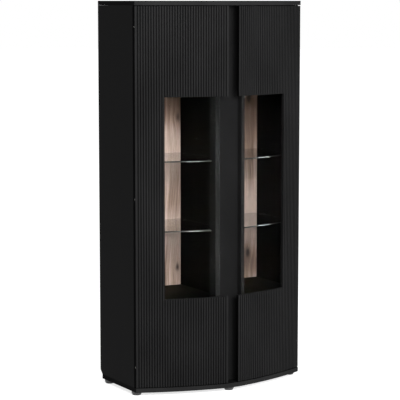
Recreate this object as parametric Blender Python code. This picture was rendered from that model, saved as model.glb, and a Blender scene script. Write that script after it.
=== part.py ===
"""A bow-front china cabinet: two ribbed doors with glass panes, a wood-decor back and glass shelves.

Metres, +Z up. The cabinet stands on z = 0 with its bowed front towards -Y, and the origin is on the
floor at the centre of its footprint. Every sub-part is one object and one closed solid. Left and
right pieces come from the same function, with side -1 for the left and +1 for the right.
"""

import math

import bmesh
import bpy
from mathutils import Matrix, Vector

# Overall sizes
WIDTH = 0.960
HEIGHT = 1.950
SIDE_DEPTH = 0.392  # from the front corners of the boards to the back edge
BOW_DEPTH = 0.136  # how far the centre of the front stands before its corners
BOW_SWEEP = math.radians(17.0)  # turn of the front curve from its centre to a corner
RECESS_HALF = 0.030  # half of the finger recess between the doors; the bow is flat across it

# Boards and panels
BOARD = 0.022  # top and base board
PANEL = 0.016  # sides, partition, display floor and ceiling
BACK_PANEL = 0.003
BACK_SETBACK = 0.0027  # from the rear edge of the sides to the back panels
SKIRTING_CUT = 0.022  # corner taken off behind, for a room's skirting board
RAIL_DEPTH = 0.036
RAIL_HEIGHT = 0.040

# Feet
FOOT_HEIGHT = 0.020
FOOT_RADIUS = 0.0255
FOOT_FLOOR_RADIUS = 0.023
FOOT_RIM = 0.012  # height of the straight upper part
FOOT_FROM_SIDE = 0.026
FOOT_FROM_CORNER = 0.0445  # behind the front corners
FOOT_FROM_NOSE = 0.044  # behind the centre of the bow
FOOT_FROM_REAR = 0.054

# Display floor and ceiling
DISPLAY_FLOOR_TOP = 0.448  # above the underside of the base board
CEILING_BELOW_TOP = 0.440  # from the top of the cabinet down to the display ceiling
BOARD_INSET = 0.028  # from the bow to the front edge of the display floor and ceiling

# Doors
DOOR = 0.018
DOOR_INSET = 0.001  # ribs behind the edges of the boards, and door ends inside the sides
DOOR_GAP = 0.0037  # above and below a door
SWING_CLEAR = 0.00065  # between the front edge of a side and the door's end as it swings past
RIB_PITCH = 0.013
RIB_DEPTH = 0.004
RIB_TOP_SHARE = 0.52  # of the pitch
RIB_GROOVE_SHARE = 0.34  # of the pitch
WINDOW_OUTER = 0.136  # from the side of the cabinet to the window
WINDOW_BOTTOM = 0.466  # above the underside of the base board
WINDOW_TOP = 0.467  # below the top of the cabinet
GLASS = 0.004
GLASS_LAP = 0.015  # of the pane behind the door panel

# Centre post: two walls and a board between them, in front of the partition
POST_INNER = 0.066  # half of the channel between the walls
POST_WALL = 0.018
POST_GAP = 0.0025  # between the pane and the front edges of the walls
CHANNEL_DEPTH = 0.068  # from the centre of the bow to the board
WALL_BEHIND = 0.008  # walls reaching past the board's back

# Glass shelves and their pins
SHELF_COUNT = 2
SHELF_GLASS = 0.006
SHELF_INSET = 0.050  # from the bow to the front edge of the glass
SHELF_GAP = 0.002  # at the sides and the back
SHELF_NOTCH_GAP = 0.008  # round the centre post
PIN_RADIUS = 0.0025
PIN_IN_WOOD = 0.009
PIN_UNDER_GLASS = 0.012
PIN_FROM_EDGE = 0.045  # from the front and back edges of the glass

# Single-pivot cup hinges
HINGE_COUNT = 3
HINGE_FROM_END = 0.100  # from a door's top and bottom to its outer hinges
CUP_RADIUS = 0.0175
CUP_WALL = 0.001
CUP_SKIN = 0.0025  # wood between the cup and the grooves of the ribs
CUP_TAB = 0.005  # wood between the cup and the door's end
CUP_FLANGE = 0.0025  # width of the rim on the door
CUP_SEAT = 0.0005  # between the rim and the curved back of the door
PIVOT_IN_CUP = 0.00525  # from the outside of the cup to the pivot, along the door
PIVOT_RISE = 0.0051  # from the underside of the cup to the pivot
PIVOT_RADIUS = 0.0015
PIVOT_EYE = 0.0030
ARM_THICKNESS = 0.004
ARM_HEIGHT = 0.010
ARM_LENGTH = 0.055  # along the side panel
ARM_STANDOFF = 0.0096  # from the back of an open door to the far face of the arm's leg
PLATE_HEIGHT = 0.048
PLATE_THICKNESS = 0.003
PLATE_LENGTH = 0.0275  # along the side panel, in the middle of the arm

CLEAR = 0.0003  # between touching pieces

# Facets
BOARD_STEPS = 14  # of half a board's front edge
BAY_STEPS = 12  # of the front edge of a board or pane in one bay
BACK_STEPS = 24  # of a door's back face
GLASS_STEPS = 12  # of a door's pane
ROUND_STEPS = 20  # of feet and hinge cups
PIN_STEPS = 12
EYE_STEPS = 9
SHARP_ANGLE = math.radians(40)  # between facets that shade as an edge

# Worked out from the sizes above
DEPTH = SIDE_DEPTH + BOW_DEPTH
NOSE_Y = -DEPTH / 2
CORNER_Y = NOSE_Y + BOW_DEPTH
REAR_Y = DEPTH / 2
HALF_WIDTH = WIDTH / 2
BASE_TOP = FOOT_HEIGHT + BOARD
CEILING_Z = HEIGHT - BOARD  # underside of the top board
SIDE_INNER = HALF_WIDTH - PANEL
BACK_FACE_Y = REAR_Y - BACK_SETBACK - BACK_PANEL  # face of the back panels seen from the front
FLOOR_Z = FOOT_HEIGHT + DISPLAY_FLOOR_TOP
DISPLAY_TOP_Z = HEIGHT - CEILING_BELOW_TOP
DOOR_BOTTOM = BASE_TOP + DOOR_GAP
DOOR_TOP = CEILING_Z - DOOR_GAP
DOOR_END = HALF_WIDTH - DOOR_INSET
DOOR_BACK_INSET = DOOR_INSET + DOOR
PANE_INSET = DOOR_BACK_INSET + CLEAR
WINDOW_Z = (FOOT_HEIGHT + WINDOW_BOTTOM, HEIGHT - WINDOW_TOP)
WINDOW_X = HALF_WIDTH - WINDOW_OUTER
POST_OUTER = POST_INNER + POST_WALL
CHANNEL_Y = NOSE_Y + CHANNEL_DEPTH
CHANNEL_BACK_Y = CHANNEL_Y + PANEL
WALL_BACK_Y = CHANNEL_BACK_Y + WALL_BEHIND
CUP_DEPTH = DOOR - RIB_DEPTH - CUP_SKIN
CUP_FROM_END = CUP_TAB + CUP_RADIUS  # to the centre of the cup

# The bow is one arc on each side of the flat centre.
MEAN_SLOPE = math.atan2(BOW_DEPTH, HALF_WIDTH - RECESS_HALF)
BOW_RADIUS = math.hypot(BOW_DEPTH, HALF_WIDTH - RECESS_HALF) / (2 * math.sin(BOW_SWEEP / 2))
BOW_X = RECESS_HALF - BOW_RADIUS * math.sin(MEAN_SLOPE - BOW_SWEEP / 2)
BOW_Y = NOSE_Y + BOW_RADIUS * math.cos(MEAN_SLOPE - BOW_SWEEP / 2)


def bow_angle(x, inset):
    """Slope angle of the arc that runs inset behind the bow, where it crosses x."""
    return math.asin((x - BOW_X) / (BOW_RADIUS - inset))


def bow_point(angle, inset):
    """(x, y) on the arc that runs inset behind the bow, at a slope angle."""
    radius = BOW_RADIUS - inset
    return (BOW_X + radius * math.sin(angle), BOW_Y - radius * math.cos(angle))


def bow_arc(x_from, x_to, inset, steps):
    """Points along the arc that runs inset behind the bow, between two values of x."""
    start = bow_angle(x_from, inset)
    end = bow_angle(x_to, inset)
    return [bow_point(start + (end - start) * i / steps, inset) for i in range(steps + 1)]


def bow_y(x, inset):
    """y of the arc that runs inset behind the bow, at x."""
    return bow_point(bow_angle(x, inset), inset)[1]


POST_FRONT_Y = bow_y(POST_OUTER, PANE_INSET + GLASS) + POST_GAP
DOOR_END_BACK_Y = bow_y(DOOR_END, DOOR_BACK_INSET)
DOOR_END_ANGLE = bow_angle(DOOR_END, DOOR_BACK_INSET)
PIVOT_ALONG = CUP_TAB + PIVOT_IN_CUP
PIVOT_DEPTH = CUP_DEPTH - PIVOT_RISE
PIVOT_X = DOOR_END - PIVOT_ALONG * math.cos(DOOR_END_ANGLE) + PIVOT_DEPTH * math.sin(DOOR_END_ANGLE)
PIVOT_Y = (
    DOOR_END_BACK_Y
    - PIVOT_ALONG * math.sin(DOOR_END_ANGLE)
    - PIVOT_DEPTH * math.cos(DOOR_END_ANGLE)
)
SIDE_FRONT_Y = PIVOT_Y + math.hypot(PIVOT_ALONG, PIVOT_DEPTH) + SWING_CLEAR


def clear_scene():
    for obj in list(bpy.data.objects):
        bpy.data.objects.remove(obj, do_unlink=True)


def make_material(name, colour, roughness, metallic=0.0, transmission=0.0):
    material = bpy.data.materials.new(name)
    material.use_nodes = True
    shader = material.node_tree.nodes["Principled BSDF"]
    shader.inputs["Base Color"].default_value = (*colour, 1.0)
    shader.inputs["Roughness"].default_value = roughness
    shader.inputs["Metallic"].default_value = metallic
    shader.inputs["Transmission Weight"].default_value = transmission
    material.diffuse_color = (*colour, 1.0)
    return material


def add_object(name, bm, material):
    """A new object from a bmesh, with its faces turned outwards."""
    bmesh.ops.recalc_face_normals(bm, faces=bm.faces)
    mesh = bpy.data.meshes.new(name)
    bm.to_mesh(mesh)
    bm.free()
    if material:
        mesh.materials.append(material)
    obj = bpy.data.objects.new(name, mesh)
    bpy.context.scene.collection.objects.link(obj)
    return obj


def extrude_outline(bm, points, offset):
    """Closes an outline of 3-D points into a prism along offset."""
    near = [bm.verts.new(point) for point in points]
    far = [bm.verts.new(Vector(point) + offset) for point in points]
    bm.faces.new(near)
    bm.faces.new(reversed(far))
    for i in range(len(points)):
        j = (i + 1) % len(points)
        bm.faces.new((near[j], near[i], far[i], far[j]))


def plan_prism(name, outline, bottom, top, material, side=1):
    """An upright prism on a plan outline, mirrored for side -1."""
    bm = bmesh.new()
    points = [(side * x, y, bottom) for x, y in outline]
    extrude_outline(bm, points, Vector((0, 0, top - bottom)))
    return add_object(name, bm, material)


def profile_prism(name, profile, x_from, x_to, material):
    """A prism across the cabinet on a (y, z) profile."""
    bm = bmesh.new()
    points = [(x_from, y, z) for y, z in profile]
    extrude_outline(bm, points, Vector((x_to - x_from, 0, 0)))
    return add_object(name, bm, material)


def box(name, x_range, y_range, z_range, material):
    outline = [
        (x_range[0], y_range[0]),
        (x_range[1], y_range[0]),
        (x_range[1], y_range[1]),
        (x_range[0], y_range[1]),
    ]
    return plan_prism(name, outline, z_range[0], z_range[1], material)


def turned(name, profile, material, steps=ROUND_STEPS):
    """A solid turned round Z from (radius, z) points that start and end on the axis."""
    bm = bmesh.new()
    start = bm.verts.new((0, 0, profile[0][1]))
    end = bm.verts.new((0, 0, profile[-1][1]))
    rings = []
    for radius, z in profile[1:-1]:
        ring = []
        for i in range(steps):
            turn = 2 * math.pi * i / steps
            ring.append(bm.verts.new((radius * math.cos(turn), radius * math.sin(turn), z)))
        rings.append(ring)
    for i in range(steps):
        j = (i + 1) % steps
        bm.faces.new((start, rings[0][j], rings[0][i]))
        for low, high in zip(rings, rings[1:]):
            bm.faces.new((low[i], low[j], high[j], high[i]))
        bm.faces.new((end, rings[-1][i], rings[-1][j]))
    obj = add_object(name, bm, material)
    obj.data.shade_smooth()
    obj.data.set_sharp_from_angle(angle=SHARP_ANGLE)
    return obj


def cylinder(name, radius, low, high, material, steps=ROUND_STEPS):
    return turned(name, [(0, low), (radius, low), (radius, high), (0, high)], material, steps)


def aim(obj, place, axis):
    """Puts an object's origin at place with its local Z along axis."""
    obj.location = place
    obj.rotation_mode = "QUATERNION"
    obj.rotation_quaternion = Vector((0, 0, 1)).rotation_difference(Vector(axis))


def apply_boolean(obj, tool, operation):
    """Cuts a hidden tool from an object, or joins it on."""
    tool.hide_render = True
    tool.display_type = "WIRE"
    modifier = obj.modifiers.new(f"{operation.title()} {tool.name}", "BOOLEAN")
    modifier.operation = operation
    modifier.object = tool
    modifier.solver = "EXACT"


def full_board_outline(rear_y):
    """Plan of a board that spans the whole cabinet, with the bowed front edge."""
    right = bow_arc(RECESS_HALF, HALF_WIDTH, 0.0, BOARD_STEPS)
    left = [(-x, y) for x, y in reversed(right)]
    return left + right + [(HALF_WIDTH, rear_y), (-HALF_WIDTH, rear_y)]


def bay_outline(front_inset, gap, notch_gap):
    """Plan of a board or pane in one bay, notched round the centre post."""
    inner = PANEL / 2 + gap
    notch_x = POST_OUTER + notch_gap
    notch_y = WALL_BACK_Y + notch_gap
    outer = SIDE_INNER - gap
    rear = BACK_FACE_Y - gap
    front = bow_arc(notch_x, outer, front_inset, BAY_STEPS)
    return [(inner, notch_y), (notch_x, notch_y)] + front + [(outer, rear), (inner, rear)]


def pin_hole_tool(name, holes, x_centre, length):
    """One tool that drills every pin hole of a panel, as round rods along X."""
    bm = bmesh.new()
    for y, z in holes:
        turn = Matrix.Translation((x_centre, y, z)) @ Matrix.Rotation(math.pi / 2, 4, "Y")
        bmesh.ops.create_cone(
            bm,
            cap_ends=True,
            segments=PIN_STEPS,
            radius1=PIN_RADIUS + CLEAR,
            radius2=PIN_RADIUS + CLEAR,
            depth=length,
            matrix=turn,
        )
    return add_object(name, bm, None)


def shelf_heights():
    """Heights of the undersides of the glass shelves, which divide the display evenly."""
    step = (DISPLAY_TOP_Z - FLOOR_Z) / (SHELF_COUNT + 1)
    return [FLOOR_Z + step * (i + 1) - SHELF_GLASS / 2 for i in range(SHELF_COUNT)]


def pin_height(shelf_underside):
    return shelf_underside - CLEAR - PIN_RADIUS


def side_pin_places():
    """(y, z) of the pins in a side panel."""
    front = bow_y(SIDE_INNER - SHELF_GAP, SHELF_INSET) + PIN_FROM_EDGE
    rear = BACK_FACE_Y - SHELF_GAP - PIN_FROM_EDGE
    return [(y, pin_height(z)) for z in shelf_heights() for y in (front, rear)]


def partition_pin_places():
    """(y, z) of the pins through the partition."""
    front = WALL_BACK_Y + SHELF_NOTCH_GAP + PIN_FROM_EDGE
    rear = BACK_FACE_Y - SHELF_GAP - PIN_FROM_EDGE
    return [(y, pin_height(z)) for z in shelf_heights() for y in (front, rear)]


def hinge_heights():
    low = DOOR_BOTTOM + HINGE_FROM_END
    high = DOOR_TOP - HINGE_FROM_END
    return [low + (high - low) * i / (HINGE_COUNT - 1) for i in range(HINGE_COUNT)]


def make_boards(black):
    plan_prism(
        "base_board", full_board_outline(REAR_Y - SKIRTING_CUT), FOOT_HEIGHT, BASE_TOP, black
    )
    plan_prism("top_board", full_board_outline(REAR_Y), CEILING_Z, HEIGHT, black)


def make_side_panel(name, side, black):
    bottom = BASE_TOP + CLEAR
    top = CEILING_Z - CLEAR
    profile = [
        (SIDE_FRONT_Y, bottom),
        (REAR_Y - SKIRTING_CUT, bottom),
        (REAR_Y, bottom + SKIRTING_CUT),
        (REAR_Y, top),
        (SIDE_FRONT_Y, top),
    ]
    panel = profile_prism(name, profile, side * SIDE_INNER, side * HALF_WIDTH, black)
    hole_depth = PIN_IN_WOOD + CLEAR
    tool = pin_hole_tool(f"{name}_pin_holes", side_pin_places(), side * SIDE_INNER, 2 * hole_depth)
    apply_boolean(panel, tool, "DIFFERENCE")


def make_partition(black):
    partition = box(
        "partition",
        (-PANEL / 2, PANEL / 2),
        (CHANNEL_BACK_Y + CLEAR, BACK_FACE_Y - CLEAR),
        (BASE_TOP + CLEAR, CEILING_Z - CLEAR),
        black,
    )
    notch = profile_prism(
        "partition_rail_notch",
        [
            (BACK_FACE_Y - RAIL_DEPTH - CLEAR, 0.0),
            (REAR_Y, 0.0),
            (REAR_Y, BASE_TOP + RAIL_HEIGHT + CLEAR),
            (BACK_FACE_Y - RAIL_DEPTH - CLEAR, BASE_TOP + RAIL_HEIGHT + CLEAR),
        ],
        -PANEL,
        PANEL,
        None,
    )
    apply_boolean(partition, notch, "DIFFERENCE")
    holes = pin_hole_tool("partition_pin_holes", partition_pin_places(), 0.0, 2 * PANEL)
    apply_boolean(partition, holes, "DIFFERENCE")


def make_display_boards(black):
    for name, side in (("left", -1), ("right", 1)):
        outline = bay_outline(BOARD_INSET, CLEAR, CLEAR)
        plan_prism(f"display_floor_{name}", outline, FLOOR_Z - PANEL, FLOOR_Z, black, side)
        plan_prism(
            f"display_ceiling_{name}", outline, DISPLAY_TOP_Z, DISPLAY_TOP_Z + PANEL, black, side
        )


def make_backs(black_board, wood):
    x_range = (-SIDE_INNER + CLEAR, SIDE_INNER - CLEAR)
    y_range = (BACK_FACE_Y, BACK_FACE_Y + BACK_PANEL)
    low_joint = FLOOR_Z - PANEL / 2
    high_joint = DISPLAY_TOP_Z + PANEL / 2
    low_end = BASE_TOP + SKIRTING_CUT + CLEAR
    box("back_panel_lower", x_range, y_range, (low_end, low_joint - CLEAR), black_board)
    box("display_back_panel", x_range, y_range, (low_joint, high_joint), wood)
    box("back_panel_upper", x_range, y_range, (high_joint + CLEAR, CEILING_Z - CLEAR), black_board)


def make_rear_rail(black):
    """The rail on the base board that carries the lower back panel above the skirting cut."""
    bottom = BASE_TOP + CLEAR
    rear = BACK_FACE_Y - CLEAR
    cut_y = REAR_Y - SKIRTING_CUT - CLEAR
    profile = [
        (BACK_FACE_Y - RAIL_DEPTH, bottom),
        (cut_y, bottom),
        (rear, bottom + rear - cut_y),
        (rear, BASE_TOP + RAIL_HEIGHT),
        (BACK_FACE_Y - RAIL_DEPTH, BASE_TOP + RAIL_HEIGHT),
    ]
    profile_prism("rear_rail", profile, -SIDE_INNER + CLEAR, SIDE_INNER - CLEAR, black)


def make_centre_post(black):
    z_range = (BASE_TOP + CLEAR, CEILING_Z - CLEAR)
    board_half = POST_INNER - CLEAR
    box("post_face_board", (-board_half, board_half), (CHANNEL_Y, CHANNEL_BACK_Y), z_range, black)
    wall = (POST_FRONT_Y, WALL_BACK_Y)
    box("post_wall_left", (-POST_OUTER, -POST_INNER), wall, z_range, black)
    box("post_wall_right", (POST_INNER, POST_OUTER), wall, z_range, black)


def make_shelves(glass):
    for level, underside in zip(("lower", "upper"), shelf_heights()):
        for name, side in (("left", -1), ("right", 1)):
            outline = bay_outline(SHELF_INSET, SHELF_GAP, SHELF_NOTCH_GAP)
            plan_prism(
                f"glass_shelf_{name}_{level}",
                outline,
                underside,
                underside + SHELF_GLASS,
                glass,
                side,
            )


def make_pins(steel):
    spots = ("lower_front", "lower_rear", "upper_front", "upper_rear")
    for name, side in (("left", -1), ("right", 1)):
        for spot, (y, z) in zip(spots, side_pin_places()):
            length = PIN_IN_WOOD + PIN_UNDER_GLASS
            pin = cylinder(f"shelf_pin_{name}_{spot}", PIN_RADIUS, 0, length, steel, PIN_STEPS)
            aim(pin, (side * (SIDE_INNER + PIN_IN_WOOD), y, z), (-side, 0, 0))
    for spot, (y, z) in zip(spots, partition_pin_places()):
        half = PANEL / 2 + PIN_UNDER_GLASS
        pin = cylinder(f"shelf_pin_centre_{spot}", PIN_RADIUS, -half, half, steel, PIN_STEPS)
        aim(pin, (0, y, z), (1, 0, 0))


def make_feet(plastic):
    front_y = CORNER_Y + FOOT_FROM_CORNER
    rear_y = REAR_Y - FOOT_FROM_REAR
    x = HALF_WIDTH - FOOT_FROM_SIDE
    places = {
        "foot_front_left": (-x, front_y),
        "foot_front_centre": (0.0, NOSE_Y + FOOT_FROM_NOSE),
        "foot_front_right": (x, front_y),
        "foot_rear_left": (-x, rear_y),
        "foot_rear_right": (x, rear_y),
    }
    profile = [
        (0, 0),
        (FOOT_FLOOR_RADIUS, 0),
        (FOOT_RADIUS, FOOT_HEIGHT - FOOT_RIM),
        (FOOT_RADIUS, FOOT_HEIGHT - CLEAR),
        (0, FOOT_HEIGHT - CLEAR),
    ]
    for name, (foot_x, foot_y) in places.items():
        foot = turned(name, profile, plastic)
        foot.location = (foot_x, foot_y, 0)


def ribbed_line():
    """The ribbed front of a right door in plan, from the recess to the outer end."""
    start = bow_angle(RECESS_HALF, DOOR_INSET)
    end = bow_angle(DOOR_END, DOOR_INSET)
    count = round((end - start) * BOW_RADIUS / RIB_PITCH)
    groove = RIB_GROOVE_SHARE / 2
    flank = (1 - RIB_TOP_SHARE) / 2
    rib = [(groove, RIB_DEPTH), (flank, 0.0), (1 - flank, 0.0), (1 - groove, RIB_DEPTH)]
    points = [bow_point(start, DOOR_INSET)]
    for i in range(count):
        for share, depth in rib:
            edge_rib_end = (i == 0 and share < 0.5) or (i == count - 1 and share > 0.5)
            if not edge_rib_end:
                angle = start + (end - start) * (i + share) / count
                points.append(bow_point(angle, DOOR_INSET + depth))
    points.append(bow_point(end, DOOR_INSET))
    return points


def cup_frame(side):
    """Where a hinge cup sits in plan: the point on the door's back, and the way its mouth faces."""
    angle = DOOR_END_ANGLE - CUP_FROM_END / BOW_RADIUS
    x, y = bow_point(angle, DOOR_BACK_INSET)
    mouth = (-side * math.sin(angle), math.cos(angle), 0.0)
    return (side * x, y), mouth


def make_door_panel(name, side, black):
    back = bow_arc(RECESS_HALF, DOOR_END, DOOR_BACK_INSET, BACK_STEPS)
    outline = ribbed_line() + list(reversed(back))
    panel = plan_prism(name, outline, DOOR_BOTTOM, DOOR_TOP, black, side)
    window = box(
        f"{name}_window",
        (0.0, side * WINDOW_X),
        (2 * NOSE_Y, 0.0),
        WINDOW_Z,
        None,
    )
    apply_boolean(panel, window, "DIFFERENCE")
    (x, y), mouth = cup_frame(side)
    for i, z in enumerate(hinge_heights()):
        tool = cylinder(
            f"{name}_cup_hole_{i + 1}", CUP_RADIUS + CLEAR, -CUP_DEPTH - CLEAR, CUP_DEPTH, None
        )
        aim(tool, (x, y, z), mouth)
        apply_boolean(panel, tool, "DIFFERENCE")
    return panel


def make_pane(name, side, glass):
    front = bow_arc(POST_INNER + CLEAR, WINDOW_X + GLASS_LAP, PANE_INSET, GLASS_STEPS)
    back = bow_arc(POST_INNER + CLEAR, WINDOW_X + GLASS_LAP, PANE_INSET + GLASS, GLASS_STEPS)
    outline = front + list(reversed(back))
    return plan_prism(
        name, outline, WINDOW_Z[0] - GLASS_LAP, WINDOW_Z[1] + GLASS_LAP, glass, side
    )


def make_hinge_cup(name, side, z, steel):
    inner = CUP_RADIUS - CUP_WALL
    rim = CUP_RADIUS + CUP_FLANGE
    profile = [
        (0, -CUP_DEPTH),
        (CUP_RADIUS, -CUP_DEPTH),
        (CUP_RADIUS, CUP_SEAT),
        (rim, CUP_SEAT),
        (rim, CUP_SEAT + CUP_WALL),
        (inner, CUP_SEAT + CUP_WALL),
        (inner, CUP_WALL - CUP_DEPTH),
        (0, CUP_WALL - CUP_DEPTH),
    ]
    cup = turned(name, profile, steel)
    (x, y), mouth = cup_frame(side)
    aim(cup, (x, y, z), mouth)
    return cup


def arm_outline():
    """Plan of a hinge arm from the pivot: an eye, a hook out of the cup and a leg on the side."""
    along = Vector((-math.cos(DOOR_END_ANGLE), -math.sin(DOOR_END_ANGLE)))
    across = Vector((math.sin(DOOR_END_ANGLE), -math.cos(DOOR_END_ANGLE)))
    half = ARM_THICKNESS / 2
    leg_far = -(PIVOT_DEPTH + ARM_STANDOFF)
    leg_near = leg_far + ARM_THICKNESS
    low = across * half
    high = -low
    low_corner = low + along * ((low.x - leg_far) / -along.x)
    high_corner = high + along * ((high.x - leg_near) / -along.x)
    wood = SIDE_INNER - CLEAR - PIVOT_X
    wood_start = SIDE_FRONT_Y + CLEAR - PIVOT_Y
    leg_end = wood_start + ARM_LENGTH
    spread = math.asin(half / PIVOT_EYE)
    first = math.atan2(along.y, along.x) + spread
    sweep = 2 * math.pi - 2 * spread
    eye = []
    for i in range(EYE_STEPS + 1):
        turn = first + sweep * i / EYE_STEPS
        eye.append((PIVOT_EYE * math.cos(turn), PIVOT_EYE * math.sin(turn)))
    leg = [
        tuple(high_corner),
        (leg_near, wood_start),
        (wood, wood_start),
        (wood, leg_end),
        (leg_far, leg_end),
        tuple(low_corner),
    ]
    return eye + leg


def make_hinge_arm(name, side, z, steel):
    outline = [(PIVOT_X + x, PIVOT_Y + y) for x, y in arm_outline()]
    arm = plan_prism(name, outline, z - ARM_HEIGHT / 2, z + ARM_HEIGHT / 2, steel, side)
    bore = cylinder(f"{name}_bore", PIVOT_RADIUS + CLEAR, -ARM_HEIGHT, ARM_HEIGHT, None, PIN_STEPS)
    bore.location = (side * PIVOT_X, PIVOT_Y, z)
    apply_boolean(arm, bore, "DIFFERENCE")
    wood = SIDE_INNER - CLEAR
    plate_start = SIDE_FRONT_Y + CLEAR + (ARM_LENGTH - PLATE_LENGTH) / 2
    plate = box(
        f"{name}_plate",
        (side * (wood - PLATE_THICKNESS), side * wood),
        (plate_start, plate_start + PLATE_LENGTH),
        (z - PLATE_HEIGHT / 2, z + PLATE_HEIGHT / 2),
        None,
    )
    apply_boolean(arm, plate, "UNION")
    return arm


def make_hinge_pin(name, side, z, steel):
    """The pivot, held between the walls of the cup."""
    (cup_x, cup_y), mouth = cup_frame(side)
    to_pivot = Vector((side * PIVOT_X - cup_x, PIVOT_Y - cup_y))
    along_door = abs(to_pivot.x * mouth[1] - to_pivot.y * mouth[0])
    inner = (CUP_RADIUS - CUP_WALL) * math.cos(math.pi / ROUND_STEPS)
    half = math.sqrt(inner**2 - (along_door + PIVOT_RADIUS) ** 2) - CLEAR
    pin = cylinder(name, PIVOT_RADIUS, -half, half, steel, PIN_STEPS)
    pin.location = (side * PIVOT_X, PIVOT_Y, z)
    return pin


def hang(piece, axis):
    """Parents a piece to a door's axis and keeps it where it is."""
    piece.parent = axis
    piece.matrix_parent_inverse = Matrix.Translation(-axis.location)


def make_door(name, side, black, glass, steel):
    """A door that turns about its pivots, with its pane and the moving halves of its hinges."""
    axis = bpy.data.objects.new(f"{name}_door_axis", None)
    axis.empty_display_size = 0.05
    axis.location = (side * PIVOT_X, PIVOT_Y, 0.0)
    bpy.context.scene.collection.objects.link(axis)
    hang(make_door_panel(f"door_panel_{name}", side, black), axis)
    hang(make_pane(f"door_glass_{name}", side, glass), axis)
    for level, z in zip(("lower", "middle", "upper"), hinge_heights()):
        hang(make_hinge_cup(f"hinge_cup_{name}_{level}", side, z, steel), axis)
        hang(make_hinge_pin(f"hinge_pin_{name}_{level}", side, z, steel), axis)
        make_hinge_arm(f"hinge_arm_{name}_{level}", side, z, steel)


def main():
    clear_scene()
    black = make_material("black_foil", (0.018, 0.018, 0.019), 0.55)
    black_board = make_material("black_hardboard", (0.010, 0.010, 0.010), 0.8)
    wood = make_material("oak_decor", (0.42, 0.33, 0.27), 0.5)
    glass = make_material("clear_glass", (0.92, 0.97, 0.95), 0.03, transmission=1.0)
    steel = make_material("nickel_steel", (0.55, 0.55, 0.54), 0.3, metallic=1.0)
    plastic = make_material("dark_grey_plastic", (0.035, 0.035, 0.037), 0.45)
    make_boards(black)
    make_side_panel("side_panel_left", -1, black)
    make_side_panel("side_panel_right", 1, black)
    make_partition(black)
    make_display_boards(black)
    make_backs(black_board, wood)
    make_rear_rail(black)
    make_centre_post(black)
    make_shelves(glass)
    make_pins(steel)
    make_feet(plastic)
    make_door("left", -1, black, glass, steel)
    make_door("right", 1, black, glass, steel)


main()
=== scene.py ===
"""The looks of the bow-front china cabinet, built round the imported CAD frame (metres, +Z up).

The ribbed doors, their panes, the glass shelves, the hinge cups and the feet are finer pieces that
stand for their CAD nodes. The other CAD nodes stay, with eased edges. Left and right pieces come
from the same functions, with side -1 for the left and +1 for the right. The front faces -Y.
"""

import math

import bmesh
import bpy
from mathutils import Matrix, Vector


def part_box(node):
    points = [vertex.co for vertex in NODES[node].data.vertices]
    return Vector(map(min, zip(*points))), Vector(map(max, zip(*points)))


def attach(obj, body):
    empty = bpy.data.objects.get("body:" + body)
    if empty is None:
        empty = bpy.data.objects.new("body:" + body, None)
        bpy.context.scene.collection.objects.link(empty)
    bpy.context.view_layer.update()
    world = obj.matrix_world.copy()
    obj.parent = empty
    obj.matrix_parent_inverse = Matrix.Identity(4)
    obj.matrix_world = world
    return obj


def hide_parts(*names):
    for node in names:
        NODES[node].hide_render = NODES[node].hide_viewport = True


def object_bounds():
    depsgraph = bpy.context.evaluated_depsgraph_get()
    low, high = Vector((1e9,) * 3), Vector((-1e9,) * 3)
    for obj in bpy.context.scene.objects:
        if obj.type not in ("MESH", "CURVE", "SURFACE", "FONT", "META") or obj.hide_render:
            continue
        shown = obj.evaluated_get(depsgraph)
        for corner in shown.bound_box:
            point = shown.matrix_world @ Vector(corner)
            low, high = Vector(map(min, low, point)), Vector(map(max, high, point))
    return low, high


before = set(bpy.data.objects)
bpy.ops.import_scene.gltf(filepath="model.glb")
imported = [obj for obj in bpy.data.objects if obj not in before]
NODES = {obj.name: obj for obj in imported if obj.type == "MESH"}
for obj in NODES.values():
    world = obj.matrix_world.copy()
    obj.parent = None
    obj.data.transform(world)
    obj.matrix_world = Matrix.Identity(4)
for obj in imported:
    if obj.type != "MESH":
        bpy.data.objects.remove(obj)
CAD_LOW, CAD_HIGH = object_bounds()
SIDES = (("left", -1), ("right", 1))
LEVELS = ("lower", "middle", "upper")

# Sizes that the boxes of the CAD nodes don't give
BOW_SWEEP = math.radians(17.0)  # turn of the front curve from its centre to a corner
DOOR_INSET = 0.001  # ribs behind the edges of the boards
DOOR = 0.018
RIB_PITCH = 0.013
RIB_DEPTH = 0.004
RIB_TOP_SHARE = 0.52  # of the pitch
RIB_GROOVE_SHARE = 0.34  # of the pitch
RIB_EDGE_RADIUS = 0.0020
GAP = 0.0003  # clearance between pieces, and tolerance when a vertex is looked for
GLASS = 0.004
GLASS_LAP = 0.015  # of the pane behind the door
SHELF_INSET = 0.050  # from the bow to the front edge of a glass shelf
CUP_RADIUS = 0.0175
CUP_DEPTH = 0.0115
CUP_WALL = 0.001
CUP_FROM_END = 0.0225
CUP_SEAT = 0.0005  # between the rim of a cup and the curved back of the door
CUP_FLANGE = 0.0004  # of the rim past the cup
CUP_CORNER = 0.002
EAR_FROM_CUP = 0.024  # from the centre of a cup to each of its screws
EAR_RADIUS = 0.006
PLATE_THICKNESS = 0.003
PLATE_SCREW = 0.017  # from the middle of a plate to each of its screws
SCREW_RADIUS = 0.0036
SCREW_HEIGHT_SHARE = 0.55  # of the screw's radius, as the next two
SCREW_RECESS_REACH = 0.62
SCREW_RECESS_HALF_WIDTH = 0.13
SCREW_RECESS_FLOOR = 0.35  # of the height of the head
FOOT_GLIDE_SHARE = 0.86  # of the foot's radius
FOOT_GLIDE_HEIGHT = 0.006
FOOT_GLIDE_CORNER = 0.0015
FOOT_GLIDE_FLARE = 0.0008
FOOT_EDGE_RADIUS = 0.0035
FOOT_TOP_CORNER = 0.001
NAIL_RADIUS = 0.0022
NAIL_HEAD = 0.0006
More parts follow.
